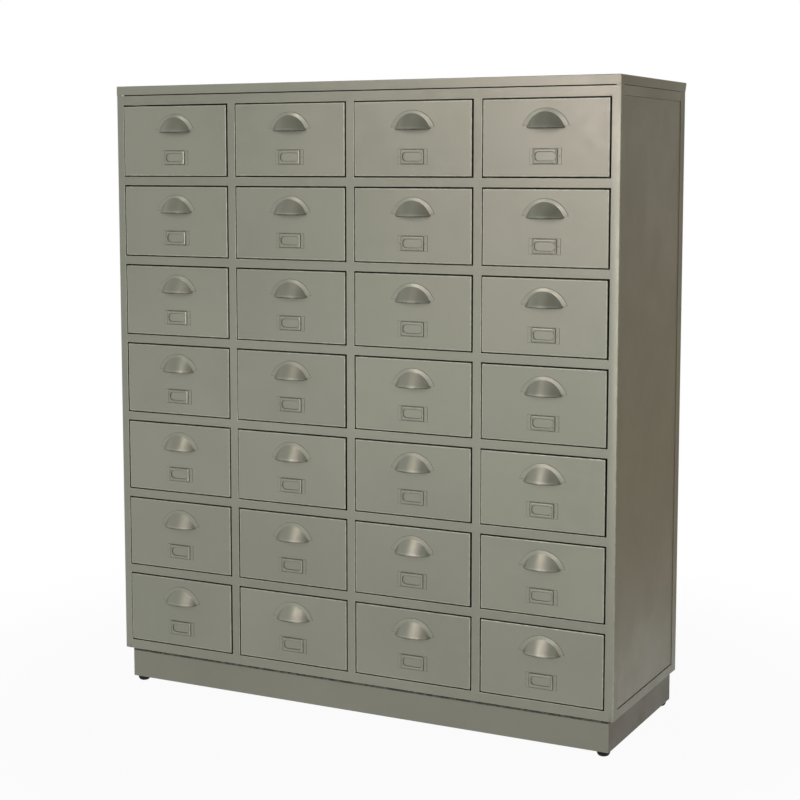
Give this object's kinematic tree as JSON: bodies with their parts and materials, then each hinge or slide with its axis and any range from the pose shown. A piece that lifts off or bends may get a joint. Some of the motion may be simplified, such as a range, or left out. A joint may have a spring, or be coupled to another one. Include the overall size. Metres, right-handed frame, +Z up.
{
  "type": "metal drawer cabinet",
  "caption": "Upright steel cabinet with a flush grid of small sliding drawers, each with a half-moon cup pull and a card holder, on a recessed plinth with rubber feet.",
  "frame": {"origin": "on the floor below the middle of the whole cabinet, cup pulls included", "axes": "+Z up, the drawers face -Y and slide out along -Y, +X is the right-hand side seen from the front"},
  "size_m": [1.199, 0.437, 1.3755],
  "materials": {
    "sage_paint": "semi-gloss sage grey-green paint on steel tube and sheet",
    "drawer_paint": "semi-gloss sage grey-green paint on folded sheet",
    "runner_steel": "bare dull steel, rubbed by the drawers",
    "black_rubber": "matt moulded rubber"
  },
  "bodies": {
    "carcass": {"front_post_left": "sage_paint", "front_post_right": "sage_paint", "mid_stile_1": "sage_paint", "mid_stile_2": "sage_paint", "mid_stile_3": "sage_paint", "front_top_rail": "sage_paint", "front_bottom_rail": "sage_paint", "row_rail_1": "sage_paint", "row_rail_2": "sage_paint", "row_rail_3": "sage_paint", "row_rail_4": "sage_paint", "row_rail_5": "sage_paint", "row_rail_6": "sage_paint", "side_top_rail_left": "sage_paint", "side_bottom_rail_left": "sage_paint", "side_panel_left": "sage_paint", "side_top_rail_right": "sage_paint", "side_bottom_rail_right": "sage_paint", "side_panel_right": "sage_paint", "back_panel": "sage_paint", "bottom_panel": "sage_paint", "top_cap": "sage_paint", "plinth": "sage_paint", "runner_rack_1": "runner_steel", "runner_rack_2": "runner_steel", "runner_rack_3": "runner_steel", "runner_rack_4": "runner_steel", "runner_rack_5": "runner_steel", "foot_front_left": "black_rubber", "foot_front_right": "black_rubber", "foot_rear_left": "black_rubber", "foot_rear_right": "black_rubber"},
    "drawer_r1c1": {"drawer_r1c1": "drawer_paint"},
    "drawer_r1c2": {"drawer_r1c2": "drawer_paint"},
    "drawer_r1c3": {"drawer_r1c3": "drawer_paint"},
    "drawer_r1c4": {"drawer_r1c4": "drawer_paint"},
    "drawer_r2c1": {"drawer_r2c1": "drawer_paint"},
    "drawer_r2c2": {"drawer_r2c2": "drawer_paint"},
    "drawer_r2c3": {"drawer_r2c3": "drawer_paint"},
    "drawer_r2c4": {"drawer_r2c4": "drawer_paint"},
    "drawer_r3c1": {"drawer_r3c1": "drawer_paint"},
    "drawer_r3c2": {"drawer_r3c2": "drawer_paint"},
    "drawer_r3c3": {"drawer_r3c3": "drawer_paint"},
    "drawer_r3c4": {"drawer_r3c4": "drawer_paint"},
    "drawer_r4c1": {"drawer_r4c1": "drawer_paint"},
    "drawer_r4c2": {"drawer_r4c2": "drawer_paint"},
    "drawer_r4c3": {"drawer_r4c3": "drawer_paint"},
    "drawer_r4c4": {"drawer_r4c4": "drawer_paint"},
    "drawer_r5c1": {"drawer_r5c1": "drawer_paint"},
    "drawer_r5c2": {"drawer_r5c2": "drawer_paint"},
    "drawer_r5c3": {"drawer_r5c3": "drawer_paint"},
    "drawer_r5c4": {"drawer_r5c4": "drawer_paint"},
    "drawer_r6c1": {"drawer_r6c1": "drawer_paint"},
    "drawer_r6c2": {"drawer_r6c2": "drawer_paint"},
    "drawer_r6c3": {"drawer_r6c3": "drawer_paint"},
    "drawer_r6c4": {"drawer_r6c4": "drawer_paint"},
    "drawer_r7c1": {"drawer_r7c1": "drawer_paint"},
    "drawer_r7c2": {"drawer_r7c2": "drawer_paint"},
    "drawer_r7c3": {"drawer_r7c3": "drawer_paint"},
    "drawer_r7c4": {"drawer_r7c4": "drawer_paint"}
  },
  "joints": [
    {"name": "drawer_r1c1_slide", "type": "slide", "parent": "carcass", "child": "drawer_r1c1", "axis": [0, -1, 0], "range_m": [0, 0.32]},
    {"name": "drawer_r1c2_slide", "type": "slide", "parent": "carcass", "child": "drawer_r1c2", "axis": [0, -1, 0], "range_m": [0, 0.32]},
    {"name": "drawer_r1c3_slide", "type": "slide", "parent": "carcass", "child": "drawer_r1c3", "axis": [0, -1, 0], "range_m": [0, 0.32]},
    {"name": "drawer_r1c4_slide", "type": "slide", "parent": "carcass", "child": "drawer_r1c4", "axis": [0, -1, 0], "range_m": [0, 0.32]},
    {"name": "drawer_r2c1_slide", "type": "slide", "parent": "carcass", "child": "drawer_r2c1", "axis": [0, -1, 0], "range_m": [0, 0.32]},
    {"name": "drawer_r2c2_slide", "type": "slide", "parent": "carcass", "child": "drawer_r2c2", "axis": [0, -1, 0], "range_m": [0, 0.32]},
    {"name": "drawer_r2c3_slide", "type": "slide", "parent": "carcass", "child": "drawer_r2c3", "axis": [0, -1, 0], "range_m": [0, 0.32]},
    {"name": "drawer_r2c4_slide", "type": "slide", "parent": "carcass", "child": "drawer_r2c4", "axis": [0, -1, 0], "range_m": [0, 0.32]},
    {"name": "drawer_r3c1_slide", "type": "slide", "parent": "carcass", "child": "drawer_r3c1", "axis": [0, -1, 0], "range_m": [0, 0.32]},
    {"name": "drawer_r3c2_slide", "type": "slide", "parent": "carcass", "child": "drawer_r3c2", "axis": [0, -1, 0], "range_m": [0, 0.32]},
    {"name": "drawer_r3c3_slide", "type": "slide", "parent": "carcass", "child": "drawer_r3c3", "axis": [0, -1, 0], "range_m": [0, 0.32]},
    {"name": "drawer_r3c4_slide", "type": "slide", "parent": "carcass", "child": "drawer_r3c4", "axis": [0, -1, 0], "range_m": [0, 0.32]},
    {"name": "drawer_r4c1_slide", "type": "slide", "parent": "carcass", "child": "drawer_r4c1", "axis": [0, -1, 0], "range_m": [0, 0.32]},
    {"name": "drawer_r4c2_slide", "type": "slide", "parent": "carcass", "child": "drawer_r4c2", "axis": [0, -1, 0], "range_m": [0, 0.32]},
    {"name": "drawer_r4c3_slide", "type": "slide", "parent": "carcass", "child": "drawer_r4c3", "axis": [0, -1, 0], "range_m": [0, 0.32]},
    {"name": "drawer_r4c4_slide", "type": "slide", "parent": "carcass", "child": "drawer_r4c4", "axis": [0, -1, 0], "range_m": [0, 0.32]},
    {"name": "drawer_r5c1_slide", "type": "slide", "parent": "carcass", "child": "drawer_r5c1", "axis": [0, -1, 0], "range_m": [0, 0.32]},
    {"name": "drawer_r5c2_slide", "type": "slide", "parent": "carcass", "child": "drawer_r5c2", "axis": [0, -1, 0], "range_m": [0, 0.32]},
    {"name": "drawer_r5c3_slide", "type": "slide", "parent": "carcass", "child": "drawer_r5c3", "axis": [0, -1, 0], "range_m": [0, 0.32]},
    {"name": "drawer_r5c4_slide", "type": "slide", "parent": "carcass", "child": "drawer_r5c4", "axis": [0, -1, 0], "range_m": [0, 0.32]},
    {"name": "drawer_r6c1_slide", "type": "slide", "parent": "carcass", "child": "drawer_r6c1", "axis": [0, -1, 0], "range_m": [0, 0.32]},
    {"name": "drawer_r6c2_slide", "type": "slide", "parent": "carcass", "child": "drawer_r6c2", "axis": [0, -1, 0], "range_m": [0, 0.32]},
    {"name": "drawer_r6c3_slide", "type": "slide", "parent": "carcass", "child": "drawer_r6c3", "axis": [0, -1, 0], "range_m": [0, 0.32]},
    {"name": "drawer_r6c4_slide", "type": "slide", "parent": "carcass", "child": "drawer_r6c4", "axis": [0, -1, 0], "range_m": [0, 0.32]},
    {"name": "drawer_r7c1_slide", "type": "slide", "parent": "carcass", "child": "drawer_r7c1", "axis": [0, -1, 0], "range_m": [0, 0.32]},
    {"name": "drawer_r7c2_slide", "type": "slide", "parent": "carcass", "child": "drawer_r7c2", "axis": [0, -1, 0], "range_m": [0, 0.32]},
    {"name": "drawer_r7c3_slide", "type": "slide", "parent": "carcass", "child": "drawer_r7c3", "axis": [0, -1, 0], "range_m": [0, 0.32]},
    {"name": "drawer_r7c4_slide", "type": "slide", "parent": "carcass", "child": "drawer_r7c4", "axis": [0, -1, 0], "range_m": [0, 0.32]}
  ]
}
